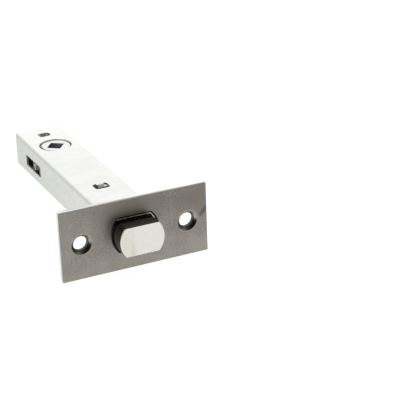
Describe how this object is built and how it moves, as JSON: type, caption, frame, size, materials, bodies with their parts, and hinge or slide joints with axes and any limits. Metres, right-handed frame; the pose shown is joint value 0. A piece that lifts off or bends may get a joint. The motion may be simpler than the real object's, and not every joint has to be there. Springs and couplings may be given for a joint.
{
  "type": "tubular deadbolt",
  "caption": "Tubular deadbolt with a satin forend, a flatted round bolt and a folded steel case; a square spindle through the follower throws the bolt.",
  "frame": {"origin": "centre of the forend's front face, on the axis of the bolt", "axes": "+X along the forend's length, +Y back along the case into the door (the bolt comes out towards -Y), +Z along the spindle's axis"},
  "size_m": [0.058, 0.1074, 0.0274],
  "materials": {
    "forend": "satin stainless",
    "backing": "bright zinc plate",
    "case": "bright zinc plate",
    "plates": "zinc plate",
    "bolt": "satin nickel plate",
    "tail": "zinc plate",
    "pins": "plain steel",
    "follower": "as cast, plated",
    "spring": "spring steel"
  },
  "bodies": {
    "case_body": {"forend_plate": "forend", "backing_plate": "backing", "case": "case", "guide_plate": "plates", "rear_plate": "plates", "detent_spring": "spring", "spring_rivet": "pins"},
    "bolt_body": {"bolt_head": "bolt", "bolt_tail": "tail", "tail_pins": "pins"},
    "follower_body": {"follower": "follower"}
  },
  "joints": [
    {"name": "bolt_throw", "type": "slide", "parent": "case_body", "child": "bolt_body", "axis": [0, -1, 0], "range_m": [-0.00693, 0.00507]},
    {"name": "follower_turn", "type": "hinge", "parent": "case_body", "child": "follower_body", "pos_m": [0, 0.0798, 0], "axis": [0, 0, 1], "range_deg": [-52, 38.01]}
  ],
  "couplings": [
    {"joint": "follower_turn", "follows": "bolt_throw", "rad_per_m": 130.9}
  ]
}
